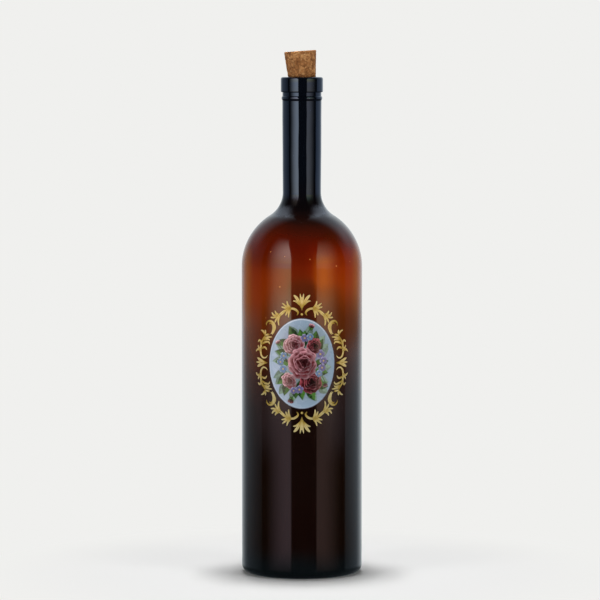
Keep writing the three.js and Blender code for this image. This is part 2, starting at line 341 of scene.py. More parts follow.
def shoulder_curve(wall, shoulder, neck, fillet, counts):
    """An arc of the shoulder's radius and, tangent to it, the hollow fillet that leads to the neck."""
    across = neck + fillet - (wall - shoulder)
    rise = math.sqrt((shoulder + fillet) ** 2 - across ** 2)
    meet = math.degrees(math.atan2(rise, across))
    return np.vstack([
        arc((wall - shoulder, SHOULDER_HEIGHT), shoulder, 0, meet, counts[0]),
        arc((neck + fillet, SHOULDER_HEIGHT + rise), fillet, 180 + meet, 180, counts[1])[1:],
    ])


def punt_curve(rim, top, foot, count):
    """The push-up of the base: half a cosine wave from its top near the axis down to its rim."""
    share = np.linspace(0.02, 1, count)
    return np.stack([rim * share, foot + (top - foot) * (0.5 + 0.5 * np.cos(np.pi * share))], -1)


def glass_profile():
    """The glass wall's closed outline in (radius, height).

    It runs from under the push-up, up the outside, over the lip, down the bore and the inside, to
    the floor above the push-up.
    """
    lip_under = GLASS_HEIGHT - LIP_HEIGHT
    ring_top = lip_under - GROOVE_HEIGHT
    share = np.linspace(0, 1, 13)
    swell = np.sin(np.pi * share) ** 0.7
    foot = NECK_TOP_RADIUS + (GROOVE_RADIUS - NECK_TOP_RADIUS) * share
    bead = np.stack([foot + (RING_RADIUS - foot) * swell, ring_top - RING_HEIGHT * (1 - share)], -1)
    outside = shoulder_curve(
        BODY_RADIUS, SHOULDER_RADIUS, NECK_FOOT_RADIUS, NECK_FILLET_RADIUS, OUTSIDE_STEPS,
    )
    neck = outside[-1] + (bead[0] - outside[-1]) * np.linspace(0, 0.99, 48)[1:, None]
    inner = BODY_RADIUS - WALL
    inner_heel = (inner - INNER_HEEL_RADIUS, BASE_THICKNESS + INNER_HEEL_RADIUS)
    inner_fillet = NECK_FILLET_RADIUS + NECK_FOOT_RADIUS - BORE_FOOT_RADIUS
    inside = shoulder_curve(
        inner, SHOULDER_RADIUS - WALL, BORE_FOOT_RADIUS, inner_fillet, INSIDE_STEPS,
    )
    under = (LIP_RADIUS - LIP_UNDER_ROUND, lip_under + LIP_UNDER_ROUND)
    over = (LIP_RADIUS - LIP_TOP_ROUND, GLASS_HEIGHT - LIP_TOP_ROUND)
    mouth = (BORE_MOUTH_RADIUS + MOUTH_ROUND, GLASS_HEIGHT - MOUTH_ROUND)
    return np.vstack([
        punt_curve(PUNT_RADIUS, PUNT_HEIGHT, 0, 22),
        arc((BODY_RADIUS - HEEL_RADIUS, HEEL_RADIUS), HEEL_RADIUS, -90, 0, 14),
        outside,
        neck,
        bead,
        [[GROOVE_RADIUS, lip_under - 0.2 * MM]],
        arc(under, LIP_UNDER_ROUND, -90, 0, 8),
        arc(over, LIP_TOP_ROUND, 0, 90, 12),
        arc(mouth, MOUTH_ROUND, 90, 180, 8),
        inside[::-1],
        arc(inner_heel, INNER_HEEL_RADIUS, 0, -90, 12),
        punt_curve(PUNT_RADIUS, PUNT_HEIGHT + BASE_THICKNESS, BASE_THICKNESS, 18)[::-1],
    ])


# Lacquer: heights are shares of the glass height. Aside is the square of the distance across, so
# 0.0001 of it is 10 mm from the middle on either side.

LACQUER_FADE = (
    (0.00, "110503"), (0.10, "110604"), (0.27, "130604"), (0.34, "1e0a06"), (0.40, "34130a"),
    (0.46, "511e08"), (0.51, "5c1f05"), (0.55, "641d03"), (0.58, "651b01"), (0.62, "631801"),
    (0.66, "4e0d01"), (0.69, "350c03"), (0.711, "1b0905"), (0.738, "090506"), (0.80, "05070c"),
    (1.00, "05070c"),
)
NECK_GLOSS = (0.75, 0.767)


def dark_reach(finish, level, across, aside):
    """How far up the dark coat of the body is drawn, to be taken off the height.

    It reaches higher behind the medallion, most of all in a narrow band up its middle, and on the
    right. Raised behind the medallion and up its middle, the dark is painted shade: the middle gets
    less light through the glass, and a shadow lies above the border. The black of the neck starts a
    little higher on the left.
    """
    facing = 1 - finish.axis("Y").step(-0.02, 0.02)
    # Painted shade: the dark drawn higher behind the medallion and in a narrow band up its middle
    broad = 0.03 - 0.03 * aside.step(0.0002, 0.0009)
    narrow = 0.06 - 0.06 * aside.step(0.00002, 0.00012)
    raised = 0.03 * across.step(-0.03, 0.01) + (broad + narrow) * facing
    lifted = 0.012 * across.step(0, -0.02) * level.step(0.65, 0.69)
    return raised * (1 - level.step(0.575, 0.63)) + lifted


def lacquer_colour(finish, level, across, aside):
    """The sprayed colour: a fade by height, changed in these places.

    The amber is painted brighter on both sides, a painted glow of light that passes through the
    glass, and it turns from red to orange towards the rims and in a band right of the middle, also
    painted glow. A painted grey sheen lies on the flanks beside the lower border, the foot is a
    cooler black, and a painted grey reflection lies round the neck's foot except on its middle
    line. Sparse pale nibs sit where the centre of a cell lies on the surface.
    """
    low = level - dark_reach(finish, level, across, aside)
    dark_above = 1 - level.step(0.64, 0.69)
    amber = low.step(0.45, 0.57) * dark_above
    # Painted glow: the amber is painted brighter on both sides, as if lit through the glass
    left = 0.45 * across.step(-0.004, -0.017) * (1 - level.step(0.6, 0.65))
    right = 0.85 * across.step(0, 0.016) * dark_above
    glow_gain = 1 + low.step(0.48, 0.57) * (left + right)
    coat = finish.scale(finish.ramp(low, *LACQUER_FADE), glow_gain)
    # Painted glow: the amber is painted more orange towards the rims
    flank = 0.4 * aside.step(0.0001, 0.0005) + 0.6 * aside.step(0.0008, 0.0014)
    coat = finish.mix(flank, coat, finish.multiply(coat, (1, 1.8, 1)))
    # Painted glow: a brighter orange band right of the middle
    band = across.step(0.005, 0.014) * (1 - across.step(0.014, 0.024))
    band = band * amber * (1 - level.step(0.62, 0.66))
    coat = finish.mix(0.3 * band, coat, rgba("ce7005"))
    # Painted glow: orange-brown mixed in at the rims
    coat = finish.mix(0.4 * amber * aside.step(0.001, 0.0014), coat, rgba("965c14"))
    # Painted sheen: grey laid on the flanks beside the lower border
    haze = level.step(0.22, 0.32) * (1 - level.step(0.36, 0.42))
    haze = haze * aside.step(0.0001, 0.0004) * (1 - aside.step(0.0006, 0.0011))
    coat = finish.mix(0.26 * haze, coat, rgba("3c3438"))
    coat = finish.mix(1 - level.step(0.02, 0.07), coat, rgba("0b1012"))
    # Painted reflection: a grey ring round the neck's foot, left out on its middle line
    neck_reflection = level.step(0.718, 0.727) * (1 - level.step(0.735, 0.746))
    neck_reflection = neck_reflection * aside.step(0.00002, 0.00011)
    coat = finish.mix(0.7 * neck_reflection, coat, rgba("4c5058"))
    cells = {"Vector": finish.place(), "Scale": 110.0}
    nib = finish.add("ShaderNodeTexVoronoi", {}, cells).step(0.07, 0.05) * amber
    return finish.mix(0.5 * nib, coat, rgba("d98a4a"))


def lacquer_finish():
    """Clear gloss over the sprayed colour, and a blue-tinged gloss of its own on the black neck.

    The height is shaken by noise, as sprayed lacquer drifts, before it picks the colour. The gloss
    is duller on the sides of the amber and in the fold at the front of the neck's foot.
    """
    finish = material("fade_lacquer")
    drift = finish.noise(26, 2.0) - 0.5
    mist = finish.noise(900, 1.0) - 0.5
    smears = finish.noise(60, 4.0)
    level = finish.axis("Z") / GLASS_HEIGHT + drift * 0.02 + mist * 0.008
    across = finish.axis("X")
    aside = across * across
    paint = lacquer_colour(finish, level, across, aside)
    dull = (level + 0.06 * across.step(-0.01, 0.01)).step(0.5, 0.56) * (1 - level.step(0.61, 0.69))
    dull = dull * aside.step(0.0003, 0.0008) * (1 - 0.6 * aside.step(0.0012, 0.0015))
    fold = level.step(0.73, 0.746) * (1 - aside.step(0.00006, 0.00014))
    body = finish.principled(
        Base_Color=paint,
        Roughness=0.2 + smears * 0.1,
        Specular_IOR_Level=0.04,
        Coat_Weight=1 - 0.8 * dull - 0.9 * fold,
        Coat_Roughness=0.045,
        Coat_IOR=1.5,
    )
    neck = finish.principled(
        Base_Color=paint,
        Roughness=0.045,
        IOR=1.8,
        Specular_IOR_Level=0.58,
        Specular_Tint=(0.5, 0.64, 1, 1),
    )
    return finish.surface(finish.either(level.step(*NECK_GLOSS), body, neck))


def wavered(rings):
    """Rings with the slight unevenness of a blown neck.

    Waves round it and up it are added to the radius, on the outside only, fading out towards the
    shoulder and the bead.
    """
    x, y, height = np.moveaxis(rings, -1, 0)
    radius = np.hypot(x, y)
    angle = np.arctan2(y, x)
    wave = np.sin(2 * angle + 70 * height) + 0.7 * np.sin(3 * angle - 150 * height)
    wave = wave + 0.3 * np.sin(5 * angle + 410 * height)
    level = height / GLASS_HEIGHT
    share = smoothstep(0.72, 0.8, level) * smoothstep(0.945, 0.925, level)
    outside = radius > BORE_FOOT_RADIUS + 1 * MM
    grown = 1 + np.where(outside, WAVER * wave * share, 0) / radius
    return np.stack([x * grown, y * grown, height], -1)


def make_glass():
    """The wall's outline turned about the axis and closed on it, above and under the push-up."""
    rings = wavered(turned_rings(glass_profile(), GLASS_SEGMENTS))
    poles = [[0, 0, PUNT_HEIGHT], [0, 0, PUNT_HEIGHT + BASE_THICKNESS]]
    points, faces = capped_rings(rings, *poles)
    finish = lacquer_finish()
    return piece("glass", points, faces, finish, "bottle", "glass_bottle")


# Cork

def scatter(cells, salt):
    """A fixed pseudo-random number, 0 to 1, for each whole cell: the fraction of a large sine."""
    mixed = np.sin(cells @ np.array([127.1, 311.7, 74.7]) + salt * 53.3) * 43758.5453
    return mixed - np.floor(mixed)


def granules(points, size):
    """For each point, the nearest grain of a jittered lattice.

    Gives the grain's random number, and how much nearer it is than the next grain, as a share of the
    lattice size, which is 0 on the seam between grains.
    """
    scaled = points / size
    base = np.floor(scaled)
    nearest = np.full(len(points), 9.0)
    second = np.full(len(points), 9.0)
    grain = np.zeros(len(points))
    for offset in np.ndindex(3, 3, 3):
        cell = base + np.array(offset) - 1
        seed = cell + np.stack([scatter(cell, salt) for salt in (1, 2, 3)], -1)
        distance = np.linalg.norm(scaled - seed, axis=1)
        closer = distance < nearest
        second = np.where(closer, nearest, np.minimum(second, distance))
        grain = np.where(closer, scatter(cell, 4), grain)
        nearest = np.where(closer, distance, nearest)
    return grain, second - nearest


def cork_profile():
    """The cork's outline in (radius, height above the mouth): bottom face, tapered side, top face,
    with rounded edges."""
    seat = BORE_MOUTH_RADIUS - CORK_CLEARANCE
    below = CORK_LENGTH * (seat - CORK_BOTTOM_RADIUS) / (CORK_TOP_RADIUS - CORK_BOTTOM_RADIUS)
    top = CORK_LENGTH - below
    side = np.linspace(0, 1, 110)[1:-1, None]
    low = np.array([[CORK_BOTTOM_RADIUS, CORK_EDGE - below]])
    high = np.array([[CORK_TOP_RADIUS, top - CORK_EDGE]])
    flat = np.linspace(0.04, 1, 34)[:, None]
    bottom_face = np.hstack([flat * (CORK_BOTTOM_RADIUS - CORK_EDGE), 0 * flat - below])
    top_face = np.hstack([flat * (CORK_TOP_RADIUS - CORK_EDGE), 0 * flat + top])
    low_edge = arc((CORK_BOTTOM_RADIUS - CORK_EDGE, CORK_EDGE - below), CORK_EDGE, -80, 0, 5)
    high_edge = arc((CORK_TOP_RADIUS - CORK_EDGE, top - CORK_EDGE), CORK_EDGE, 0, 80, 5)
    return np.vstack([bottom_face, low_edge, low + (high - low) * side, high_edge, top_face[::-1]])


def cork_finish():
    """Pressed cork: each grain has its own brown, seams are dark and fine noise mottles it all."""
    finish = material("pressed_cork")
    grain = finish.attribute("grain")
    seam = finish.attribute("seam")
    mottle = finish.noise(560, 5.0, 0.7)
    fleck = finish.noise(2600, 2.0)
    tone = grain * 0.45 + mottle * 1.3 - 0.38
    bark = finish.ramp(
        tone,
        (0.0, "512e15"), (0.3, "7b4e2a"), (0.5, "936238"), (0.7, "a97849"), (1.0, "d2a873"),
    )
    speckled = finish.mix(fleck.step(0.58, 0.74) * 0.4, bark, rgba("4a2b15"))
    seamed = finish.mix((1 - seam) * 0.42, speckled, rgba("40260f"))
    relief = finish.bump(mottle * 0.7 + fleck * 0.3, 0.5, 0.0004)
    return finish.surface(finish.principled(
        Base_Color=seamed,
        Roughness=0.86 - grain * 0.12,
        Normal=relief,
        Specular_IOR_Level=0.25,
    ))


def make_cork():
    """The cork's outline turned, roughened along its own normals by seams and lost grains, then
    leaned on to the joint's axis at the mouth."""
    profile = cork_profile()
    rings = turned_rings(profile, CORK_SEGMENTS)
    points, faces = capped_rings(rings, [0, 0, profile[0, 1]], [0, 0, profile[-1, 1]])
    grain, edge = granules(points, GRANULE)
    chip, _ = granules(points, GRANULE * 0.6)
    seam = smoothstep(0.02, 0.22, edge)
    slope = np.gradient(profile, axis=0)
    normal = np.stack([slope[:, 1], -slope[:, 0]], -1)
    normal /= np.linalg.norm(normal, axis=1, keepdims=True)
    ring_of = np.repeat(np.arange(len(profile)), CORK_SEGMENTS)
    radial = points[:-2, :2] / np.linalg.norm(points[:-2, :2], axis=1, keepdims=True)
    skin = np.hstack([radial * normal[ring_of, :1], normal[ring_of, 1:]])
    outward = np.vstack([skin, [[0, 0, -1], [0, 0, 1]]])
    lost = smoothstep(0.84, 0.9, grain) * seam
    above_mouth = smoothstep(-1 * MM, 1.5 * MM, points[:, 2])
    depth = SEAM_DEPTH * (1 - seam) + LOST_DEPTH * lost + CHIP_DEPTH * chip
    points = points - outward * (depth * (0.35 + 0.65 * above_mouth))[:, None]
    lean = CORK_AXIS.to_track_quat("Z", "Y").to_matrix()
    points = points @ np.array(lean).T + [0, 0, GLASS_HEIGHT]
    shades = (("grain", np.clip(grain, 0, 1)), ("seam", seam))
    return piece("cork", points, faces, cork_finish(), "cork", "cork_stopper", shades, 60)


# Medallion painting, in millimetres from the middle of the oval

class Canvas:
    """A colour for every point of the medallion, painted over from back to front."""

    def __init__(self, across, up):
        self.across = across
        self.up = up
        self.colour = np.zeros((*across.shape, 3))

    def lay(self, mask, colour):
        """Covers the points by mask, 0 to 1, with a colour that is one for all or one for each."""
        mask = mask[..., None]
        self.colour = self.colour * (1 - mask) + mask * colour

    def shade(self, mask, share):
        """Darkens the points under a soft mask."""
        self.colour = self.colour * (1 - share * mask[..., None])

    def local(self, root, heading, length, width):
        """Shares of a mark's length, along it from its root, and of its half-width, across it."""
        turn = math.radians(heading)
        across, up = self.across - root[0], self.up - root[1]
        along = (across * math.cos(turn) + up * math.sin(turn)) / length
        beside = (up * math.cos(turn) - across * math.sin(turn)) / (width / 2)
        return along, beside


def blend(first, second, share):
    """Colours between two, for an array of shares."""
    share = np.clip(share, 0, 1)[..., None]
    return first * (1 - share) + second * share


def petal(canvas, root, heading, length, width, deep, pale):
    """A broad cupped petal: its half-width follows along^0.6 times sqrt(1 - along^6).

    It stays deep for most of its length and turns pale towards a light, slightly ruffled lip,
    brighter on the side that faces the upper left, and it shades what it covers.
    """
    along, beside = canvas.local(root, heading, length, width)
    along = along + 0.035 * np.sin(7 * beside + heading)
    inside = np.clip(along, 0, 1)
    reach = inside ** 0.6 * np.sqrt(1 - inside ** 6)
    edge = np.where((along > 0) & (along < 1), reach - np.abs(beside), -1)
    soft = 0.25 / width
    canvas.shade(smoothstep(-6 * soft, 3 * soft, edge), 0.42)
    lit = 0.66 + 0.4 * math.cos(math.radians(heading - 125))
    streaks = 0.16 * np.sin(9 * beside + 3 * inside) * inside
    tone = smoothstep(0.66, 1.04, inside) + streaks + 0.24 * beside
    colour = blend(deep, pale * lit, tone)
    lip = smoothstep(0.3, 0.05, edge) * smoothstep(0.55, 0.9, inside)
    colour = blend(colour, np.minimum(pale * lit * 1.35 + 0.06, 1.0) + 0 * colour, 0.85 * lip)
    canvas.lay(smoothstep(-soft, soft, edge), colour)


def rosette(canvas, middle, radius, rings, shades, turn, rng):
    """A full flower: rings of petals from the outside in, with uneven lengths and widths.

    Each ring is shorter, deeper and turned by part of a petal, and the inner rings lie a little
    towards the upper right, where the dark heart is.
    """
    aside = 0.14 * radius * np.array([0.6, 0.8])
    for ring, (count, reach) in enumerate(rings):
        share = ring / max(len(rings) - 1, 1)
        deep = blend(shades[1], shades[0], np.array(0.5 + 0.5 * share))
        pale = blend(shades[2], shades[1], np.array(0.55 * share))
        centre = np.array(middle) + share * aside
        for index in rng.permutation(count):
            heading = turn + 360 * (index + 0.45 * ring) / count + rng.uniform(-9, 9)
            length = radius * reach * rng.uniform(0.84, 1.08)
            width = 3.0 * math.pi * radius * reach / count * rng.uniform(0.85, 1.1)
            petal(canvas, centre, heading, length, width, deep, pale * rng.uniform(0.6, 1.1))
    heart = np.array(middle) + aside
    distance = np.hypot(canvas.across - heart[0], canvas.up - heart[1])
    canvas.lay(0.8 * smoothstep(0.13 * radius, 0.04 * radius, distance), shades[0] * 0.5)


def leaf(canvas, root, heading, length, width, dark, light):
    """A pointed leaf: half-width sin(pi along^0.8), one half darker than the other, with a pale
    midrib and slanting side veins."""
    along, beside = canvas.local(root, heading, length, width)
    beside = beside + 0.25 * np.sin(np.pi * np.clip(along, 0, 1))
    inside = np.clip(along, 0, 1)
    edge = np.where((along > 0) & (along < 1), np.sin(np.pi * inside ** 0.8) - np.abs(beside), -1)
    soft = 0.3 / width
    canvas.shade(smoothstep(-5 * soft, 2 * soft, edge), 0.16)
    veins = 0.16 * np.sin(26 * (inside - 0.16 * np.abs(beside)))
    halves = 0.38 * np.sign(beside) * smoothstep(0, 0.2, np.abs(beside))
    tone = 0.45 + halves + veins + 0.25 * inside
    colour = blend(dark, light, tone)
    rib = smoothstep(0.16, 0.03, np.abs(beside)) * (1 - inside)
    colour = blend(colour, light * 1.25 + 0 * colour, 0.7 * rib)
    canvas.lay(smoothstep(-soft, soft, edge), colour)


def floret(canvas, middle, radius, turn, deep, pale, eye):
    """A small open flower of five round petals with a bright eye."""
    for index in range(5):
        petal(canvas, middle, turn + 72 * index, radius, 1.05 * radius, deep, pale)
    distance = np.hypot(canvas.across - middle[0], canvas.up - middle[1])
    canvas.lay(smoothstep(0.26 * radius, 0.16 * radius, distance), eye)


def stem(canvas, start, bend, end, width, colour):
    """A stalk, drawn near a quadratic curve that leaves start towards bend and comes in to end."""
    share = np.linspace(0, 1, 48)[:, None]
    start, bend, end = (np.array(place) for place in (start, bend, end))
    path = (1 - share) ** 2 * start + 2 * share * (1 - share) * bend + share ** 2 * end
    distance = np.full(canvas.across.shape, 99.0)
    for across, up in path:
        distance = np.minimum(distance, np.hypot(canvas.across - across, canvas.up - up))
    canvas.lay(smoothstep(width * 0.6, width * 0.35, distance), colour)


def painted_ground(canvas, half_width, half_length):
    """Pale blue enamel, deeper towards the rim, greyer in the middle, with soft lilac clouds.

    It is painted lighter to the left and deeper to the right: a painted highlight on the left
    that fades to painted shade on the right."""
    rim = np.hypot(canvas.across / half_width, canvas.up / half_length)
    # Painted light: lighter to the left as a painted highlight, deeper to the right as painted shade
    slope = 0.5 - 0.5 * np.tanh((canvas.across + 2) / 11)
    ground = blend(linear("788fa3"), linear("a1afc5"), slope)
    canvas.colour = blend(ground, linear("8ca3b8") + 0 * ground, 0.3 * smoothstep(0.7, 1.0, rim))
    haze = np.exp(-((canvas.across - 1) / 14) ** 4 - (canvas.up / 22) ** 4)
    canvas.lay(0.8 * haze, linear("5f6a66"))
    clouds = [(13, 5, 5, 0.6), (12, -15, 5, 0.5), (-8, 17, 4, 0.35), (-13, -14, 4, 0.35)]
    for across, up, size, share in clouds:
        cloud = np.exp(-((canvas.across - across) ** 2 + (canvas.up - up) ** 2) / size ** 2)
        canvas.lay(share * cloud, linear("8a86ac"))


def painted_rim(canvas, half_width, half_length):
    """A light line inside the oval's edge, a painted highlight brighter to the upper left, with a
    fine dark one round.
    """
    across, up = canvas.across / half_width, canvas.up / half_length
    inset = 1 - np.hypot(across, up)
    # Painted highlight: the light line inside the edge, brighter to the upper left
    bright = 0.35 + 0.3 * np.tanh(1.5 * (up - across))
    canvas.lay(bright * smoothstep(0.05, 0.03, inset), linear("d3d6e2"))
    canvas.lay(smoothstep(0.02, 0.01, inset), linear("4a4650"))


# Leaves of the posy: root, heading, length and width

PALE_LEAVES = [
    ((-9, 8), 150, 10, 6.4), ((9, 6), 24, 10, 6), ((-9, -6), 200, 11, 6), ((9, -8), -28, 10, 6.4),
    ((-4, 16), 116, 10, 6), ((5, -16), -62, 10, 6), ((9, 12), 46, 9, 5.6),
    ((-9, -14), -134, 9, 5.6), ((-9, 1), 178, 11, 6), ((10, -2), -2, 10, 6),
    ((3, 17), 76, 9, 5.4), ((-4, -17), -104, 9, 5.4), ((-11, 5), 158, 8, 5),
    ((11, -14), -40, 9, 5.4), ((-12, -10), 214, 7, 5), ((12, 9), 34, 7, 5),
]
GREEN_LEAVES = [
    ((-5, 9), 146, 12, 6.8), ((0, 9), 96, 14, 7), ((6, 6), 52, 13, 6.6), ((8, 0), 10, 10, 6),
    ((6, -8), -36, 12, 6.8), ((0, -10), -88, 14, 7), ((-6, -8), -152, 12, 6.8),
    ((-8, 0), 174, 10, 6), ((-5, 14), 108, 11, 6), ((5, -14), -72, 11, 6),
    ((-9, 12), 162, 8, 5.2), ((10, -13), -16, 8, 5.2), ((7, 13), 74, 9, 5.4),
    ((-8, -12), -112, 10, 5.4), ((9, -4), -14, 9, 5.2), ((-9, 5), 160, 9, 5.2),
    ((1, 14), 84, 8, 5.4), ((-3, -15), -98, 8, 5.4),
]


def paint_posy(across, up):
    """A posy of garden flowers: a large peony in the middle, smaller ones across it, lilac and blue
    florets, buds and leaves round them, with paler leaves behind."""
    rng = np.random.default_rng(12)
    canvas = Canvas(across, up)
    half_width, half_length = MEDALLION_HALF_WIDTH / MM, MEDALLION_HALF_LENGTH / MM
    painted_ground(canvas, half_width, half_length)
    greens = (linear("0c2011"), linear("1f4420"), linear("44702c"), linear("7b9484"))
    rose = (linear("2c0307"), linear("7c1c26"), linear("d694a0"))
    crimson = (linear("140103"), linear("4a0810"), linear("a04450"))
    blush = (linear("420e16"), linear("8e3e4a"), linear("d8a8b0"))
    lilac = (linear("5e5884"), linear("9c98be"))
    blue = (linear("5a7298"), linear("96adc8"))

    def florets(shades, *flowers):
        for middle, radius, turn in flowers:
            floret(canvas, middle, radius, turn, *shades, linear("b09a58"))

    for mark in PALE_LEAVES:
        shade = rng.uniform(0.75, 1.05)
        leaf(canvas, *mark, greens[3] * 0.55 * shade, greens[3] * shade)
    stem(canvas, (0, 12), (2, 18), (5.5, 23), 0.5, greens[1])
    stem(canvas, (-2, -12), (-3, -18), (-6.5, -22.5), 0.5, greens[1])
    stem(canvas, (-6, 4), (-12, 7), (-15, 12), 0.45, greens[1])
    stem(canvas, (7, -4), (13, -6), (15.2, -12), 0.45, greens[1])
    for mark in GREEN_LEAVES:
        leaf(canvas, *mark, greens[0], greens[2] * rng.uniform(0.45, 1.05))
    florets(lilac, ((12.2, 6.2), 3, 10), ((14.4, 1.8), 2.6, 40), ((13.4, -2.8), 2.6, 70))
    florets(blue, ((-12.4, -3.6), 2.8, 0), ((-14.2, 1), 2.4, 30), ((-12, 5), 2.5, 55))

    full = [(7, 1.0), (6, 0.8), (5, 0.6), (4, 0.43), (3, 0.27)]
    small = [(6, 1.0), (5, 0.74), (4, 0.5), (3, 0.3)]
    rosette(canvas, (8.2, 11.6), 5, small, crimson, 30, rng)
    rosette(canvas, (-8.4, -11.4), 5.2, small, blush, 12, rng)
    rosette(canvas, (-5.6, 12), 6.8, small, blush, 20, rng)
    rosette(canvas, (6, -12.6), 7, small, crimson, 5, rng)
    rosette(canvas, (0.2, -0.2), 10.2, full, rose, 0, rng)

    florets(lilac, ((-1.6, -17), 2.7, 20), ((-5.4, -17.8), 2.3, 50), ((1.8, 16.8), 2.7, 30))
    florets(blue, ((5.4, 17.6), 2.3, 12), ((11.4, -6.6), 2.4, 44))
    for root, heading, size, shades in [
        ((5.3, 22), 68, 4.4, rose), ((-6.3, -21.8), -110, 4.4, crimson),
        ((-14.8, 11.6), 118, 3.8, blush), ((15, -11.8), -78, 3.8, rose),
    ]:
        for spread in (-16, 16, 0):
            petal(canvas, root, heading + spread, size, 0.62 * size, shades[0], shades[2])
        for spread in (-34, 34):
            leaf(canvas, root, heading + spread, 0.6 * size, 0.3 * size, greens[0], greens[2])
    painted_rim(canvas, half_width, half_length)
    return canvas.colour


def medallion_finish():
    """Glazed enamel in the painted colours, with faint unevenness in the glaze."""
    finish = material("painted_enamel")
    pool = finish.noise(220, 3.0)
    relief = finish.bump(pool, 0.06, 0.0004)
    return finish.surface(finish.principled(
        Base_Color=finish.attribute("paint", "Color"),
        Roughness=0.22 + pool * 0.1,
        Normal=relief,
        Coat_Weight=0.2,
        Coat_Roughness=0.08,
    ))


def make_medallion():
    """The painted plate on the glass, domed towards its rim.

    A square grid is squeezed to a disc, x sqrt(1 - y^2/2) by y sqrt(1 - x^2/2), and stretched to the
    oval. It is walled down into the glass and closed behind by upright strips between facing points
    of its edge.
    """
    count = MEDALLION_GRID
    line = np.linspace(-1, 1, count + 1)
    x, y = np.meshgrid(line, line, indexing="ij")
    disc_x, disc_y = x * np.sqrt(1 - y * y / 2), y * np.sqrt(1 - x * x / 2)
    across, up = MEDALLION_HALF_WIDTH * disc_x, MEDALLION_HALF_LENGTH * disc_y
    rim = np.hypot(disc_x, disc_y)
    out = MEDALLION_THICKNESS * np.sqrt(np.clip(1.0 - 0.75 * rim ** 40, 0, 1))
    front = on_glass(across, up, out).reshape(-1, 3)
    paint = paint_posy(across / MM, up / MM).reshape(-1, 3)

    index = np.arange((count + 1) ** 2).reshape(count + 1, count + 1)
    corners = [index[:-1, :-1], index[1:, :-1], index[1:, 1:], index[:-1, 1:]]
    quads = np.stack(corners, -1).reshape(-1, 4)
    edge = np.concatenate([index[:-1, 0], index[-1, :-1], index[:0:-1, -1], index[0, :0:-1]])
    back = on_glass(across.ravel()[edge], up.ravel()[edge], np.full(len(edge), -SUNK))
    behind = len(front) + np.arange(len(edge))
    wall = np.stack([edge, behind, np.roll(behind, -1), np.roll(edge, -1)], -1)
    low, right, high, left = (behind[i * count:(i + 1) * count] for i in range(4))
    facing = np.concatenate([high, left[:1]])[::-1]
    strips = np.stack([low[1:-1], facing[1:-2], facing[2:-1], low[2:]], -1)
    left_end = [*left, low[0], low[1], facing[1]]
    right_end = [low[-1], facing[-2], *high[:1], *right[::-1]]
    points = np.vstack([front, back])
    faces = [*quads.tolist(), *wall.tolist(), *strips.tolist(), left_end[::-1], right_end]
    colours = np.vstack([paint, paint[edge]])
    colours = np.hstack([colours, np.ones((len(colours), 1))])
    shades = (("paint", colours),)
    finish = medallion_finish()
    return piece(
        "medallion", points, faces, finish, "bottle", "medallion_plate", shades,
    )


# Gold border, drawn as in the solids: along runs from the top, 0, to the side, 100, of a quarter of
# the rim, and out from the rim, 0, to the border's outer limit, 100

LOBE, TIP, SCROLL, VINE = "lobe", "tip", "scroll", "vine"
WIDTHS = {LOBE: LEAF_WIDTH, TIP: TIP_WIDTH, SCROLL: SCROLL_WIDTH, VINE: VINE_WIDTH}
SWELLS = {LOBE: 1.3, TIP: 0.7, SCROLL: 0.9, VINE: 0.9}
SECTIONS = {LOBE: 30, TIP: 26, SCROLL: 48, VINE: 72}
WHOLE_RIM = 400

QUARTER_ORNAMENTS = {
    "acanthus": [
        (VINE, [7.5, 9], [5, 19], [6.7, 31], [10.1, 40], [15.5, 45], [22, 42]),
        (TIP, [12.4, 42], [14.4, 60], [14.2, 79]),
        (TIP, [13.8, 43], [17.2, 62], [19.3, 78]),
        (TIP, [15.4, 44], [19, 56], [21.8, 65]),
        (TIP, [12, 45], [16.6, 29], [19.6, 10]),
        (TIP, [13.8, 44], [18.6, 34], [22, 24]),
        (LOBE, [12, 44], [19.5, 43.5], [26, 40], [35, 37]),
        (TIP, [28, 39], [30.6, 54], [30, 67]),
        (TIP, [28.8, 39], [34.2, 55], [34, 71]),
        (TIP, [29.4, 39], [36, 48], [39.2, 60]),
        (TIP, [28.6, 39], [35.6, 35], [40, 30]),
        (TIP, [25.5, 41], [33.6, 27], [38.6, 8]),
    ],
    "c_scroll": [
        (
            SCROLL, [50.8, 53], [48.2, 59], [44.2, 56.5], [41.8, 45], [41.7, 29],
            [44.3, 17], [49, 12.3], [53, 11], [56.5, 11.5],
        ),
        (
            SCROLL, [46.6, 44], [45, 46.5], [43.7, 39.5], [44.2, 30], [47, 21.5],
            [50.6, 17.3], [54, 16], [56.8, 19],
        ),
    ],
    "side_scroll": [
        (
            VINE, [59.6, 52], [61.6, 40], [67.6, 43.5], [73.4, 49.5], [79, 47.5],
            [84.8, 46], [90.2, 39.5], [93.2, 28], [92.2, 14.5], [88.6, 7],
        ),
        (TIP, [58.2, 22], [60, 31], [62.4, 41]),
        (TIP, [62, 41], [59.4, 57], [59.8, 71]),
        (TIP, [62, 42], [58.4, 45], [56.2, 51]),
        (TIP, [69, 44], [64.8, 33], [61.8, 20], [59.2, 7]),
        (TIP, [69.5, 40], [65.4, 24], [65.4, 11]),
        (TIP, [76.6, 48], [71.4, 32], [68.6, 15.5], [71.2, 6.5]),
        (TIP, [81.6, 46], [78, 26], [80.8, 13.5]),
        (TIP, [75, 47], [72, 61], [74.8, 69]),
        (TIP, [82.6, 45], [81.4, 57], [78.6, 65]),
        (TIP, [85, 45], [83.8, 62], [87.2, 72.5]),
    ],
}


def fan_stroke(fan, kind, side, *points):
    """A stroke of a fan (middle, foot, reach): sideways from its middle, and up from its foot, 0, to
    its reach, 1."""
    middle, foot, reach = fan
    return (kind, *([middle + side * x, foot + (reach - foot) * y] for x, y in points))


